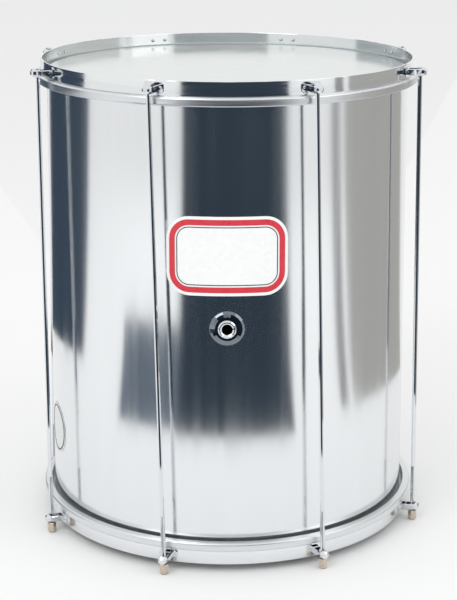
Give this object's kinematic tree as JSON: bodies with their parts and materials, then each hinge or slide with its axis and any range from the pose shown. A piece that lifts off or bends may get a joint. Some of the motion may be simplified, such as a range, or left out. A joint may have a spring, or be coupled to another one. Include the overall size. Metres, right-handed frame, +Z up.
{
  "type": "surdo",
  "caption": "Tall cylindrical two-headed bass drum: polished metal shell, film heads under flat counterhoops, full-length tension rods with ball-ended lugs and hexagon nuts as feet.",
  "frame": {"origin": "on the drum's axis, in the plane of the nuts it stands on", "axes": "+Z up along the drum's axis, front (vent) towards -Y"},
  "size_m": [0.5448, 0.5448, 0.6527],
  "materials": {
    "polished_aluminium": "polished, mirror-like with fine drawn lines",
    "satin_aluminium": "satin, brushed along the hoop",
    "chrome": "bright plating",
    "warm_nickel": "warm nickel plating, slightly dull",
    "milky_film": "smooth milky film"
  },
  "bodies": {
    "drum": {"shell": "polished_aluminium", "vent_plate": "chrome", "vent_grommet": "chrome", "vent_nut": "chrome", "top_head": "milky_film", "top_flesh_hoop": "satin_aluminium", "top_counterhoop": "polished_aluminium", "top_lug_1": "chrome", "top_lug_2": "chrome", "top_lug_3": "chrome", "top_lug_4": "chrome", "top_lug_5": "chrome", "top_lug_6": "chrome", "top_lug_7": "chrome", "top_lug_8": "chrome", "bottom_head": "milky_film", "bottom_flesh_hoop": "satin_aluminium", "bottom_counterhoop": "polished_aluminium", "bottom_lug_1": "chrome", "bottom_lug_2": "chrome", "bottom_lug_3": "chrome", "bottom_lug_4": "chrome", "bottom_lug_5": "chrome", "bottom_lug_6": "chrome", "bottom_lug_7": "chrome", "bottom_lug_8": "chrome"},
    "rod_1": {"tension_rod_1": "chrome"},
    "nut_1": {"tuning_nut_1": "warm_nickel"},
    "rod_2": {"tension_rod_2": "chrome"},
    "nut_2": {"tuning_nut_2": "warm_nickel"},
    "rod_3": {"tension_rod_3": "chrome"},
    "nut_3": {"tuning_nut_3": "warm_nickel"},
    "rod_4": {"tension_rod_4": "chrome"},
    "nut_4": {"tuning_nut_4": "warm_nickel"},
    "rod_5": {"tension_rod_5": "chrome"},
    "nut_5": {"tuning_nut_5": "warm_nickel"},
    "rod_6": {"tension_rod_6": "chrome"},
    "nut_6": {"tuning_nut_6": "warm_nickel"},
    "rod_7": {"tension_rod_7": "chrome"},
    "nut_7": {"tuning_nut_7": "warm_nickel"},
    "rod_8": {"tension_rod_8": "chrome"},
    "nut_8": {"tuning_nut_8": "warm_nickel"}
  },
  "joints": [
    {"name": "nut_1_turn", "type": "hinge", "parent": "drum", "child": "nut_1", "pos_m": [-0.08353, -0.26253, 0.01962], "axis": [-0.0236, 0.0083, 0.9997], "range_deg": [0, 3601]},
    {"name": "rod_1_rise", "type": "slide", "parent": "drum", "child": "rod_1", "axis": [-0.0236, 0.0083, 0.9997], "range_m": [0, 0.01]},
    {"name": "nut_2_turn", "type": "hinge", "parent": "drum", "child": "nut_2", "pos_m": [0.12657, -0.2447, 0.01962], "axis": [-0.0226, -0.0109, 0.9997], "range_deg": [0, 3601]},
    {"name": "rod_2_rise", "type": "slide", "parent": "drum", "child": "rod_2", "axis": [-0.0226, -0.0109, 0.9997], "range_m": [0, 0.01]},
    {"name": "nut_3_turn", "type": "hinge", "parent": "drum", "child": "nut_3", "pos_m": [0.26253, -0.08353, 0.01962], "axis": [-0.0083, -0.0236, 0.9997], "range_deg": [0, 3601]},
    {"name": "rod_3_rise", "type": "slide", "parent": "drum", "child": "rod_3", "axis": [-0.0083, -0.0236, 0.9997], "range_m": [0, 0.01]},
    {"name": "nut_4_turn", "type": "hinge", "parent": "drum", "child": "nut_4", "pos_m": [0.2447, 0.12657, 0.01962], "axis": [0.0109, -0.0226, 0.9997], "range_deg": [0, 3601]},
    {"name": "rod_4_rise", "type": "slide", "parent": "drum", "child": "rod_4", "axis": [0.0109, -0.0226, 0.9997], "range_m": [0, 0.01]},
    {"name": "nut_5_turn", "type": "hinge", "parent": "drum", "child": "nut_5", "pos_m": [0.08353, 0.26253, 0.01962], "axis": [0.0236, -0.0083, 0.9997], "range_deg": [0, 3601]},
    {"name": "rod_5_rise", "type": "slide", "parent": "drum", "child": "rod_5", "axis": [0.0236, -0.0083, 0.9997], "range_m": [0, 0.01]},
    {"name": "nut_6_turn", "type": "hinge", "parent": "drum", "child": "nut_6", "pos_m": [-0.12657, 0.2447, 0.01962], "axis": [0.0226, 0.0109, 0.9997], "range_deg": [0, 3601]},
    {"name": "rod_6_rise", "type": "slide", "parent": "drum", "child": "rod_6", "axis": [0.0226, 0.0109, 0.9997], "range_m": [0, 0.01]},
    {"name": "nut_7_turn", "type": "hinge", "parent": "drum", "child": "nut_7", "pos_m": [-0.26253, 0.08353, 0.01962], "axis": [0.0083, 0.0236, 0.9997], "range_deg": [0, 3601]},
    {"name": "rod_7_rise", "type": "slide", "parent": "drum", "child": "rod_7", "axis": [0.0083, 0.0236, 0.9997], "range_m": [0, 0.01]},
    {"name": "nut_8_turn", "type": "hinge", "parent": "drum", "child": "nut_8", "pos_m": [-0.2447, -0.12657, 0.01962], "axis": [-0.0109, 0.0226, 0.9997], "range_deg": [0, 3601]},
    {"name": "rod_8_rise", "type": "slide", "parent": "drum", "child": "rod_8", "axis": [-0.0109, 0.0226, 0.9997], "range_m": [0, 0.01]}
  ],
  "couplings": [
    {"joint": "nut_1_turn", "follows": "rod_1_rise", "rad_per_m": 6283.2},
    {"joint": "nut_2_turn", "follows": "rod_2_rise", "rad_per_m": 6283.2},
    {"joint": "nut_3_turn", "follows": "rod_3_rise", "rad_per_m": 6283.2},
    {"joint": "nut_4_turn", "follows": "rod_4_rise", "rad_per_m": 6283.2},
    {"joint": "nut_5_turn", "follows": "rod_5_rise", "rad_per_m": 6283.2},
    {"joint": "nut_6_turn", "follows": "rod_6_rise", "rad_per_m": 6283.2},
    {"joint": "nut_7_turn", "follows": "rod_7_rise", "rad_per_m": 6283.2},
    {"joint": "nut_8_turn", "follows": "rod_8_rise", "rad_per_m": 6283.2}
  ]
}
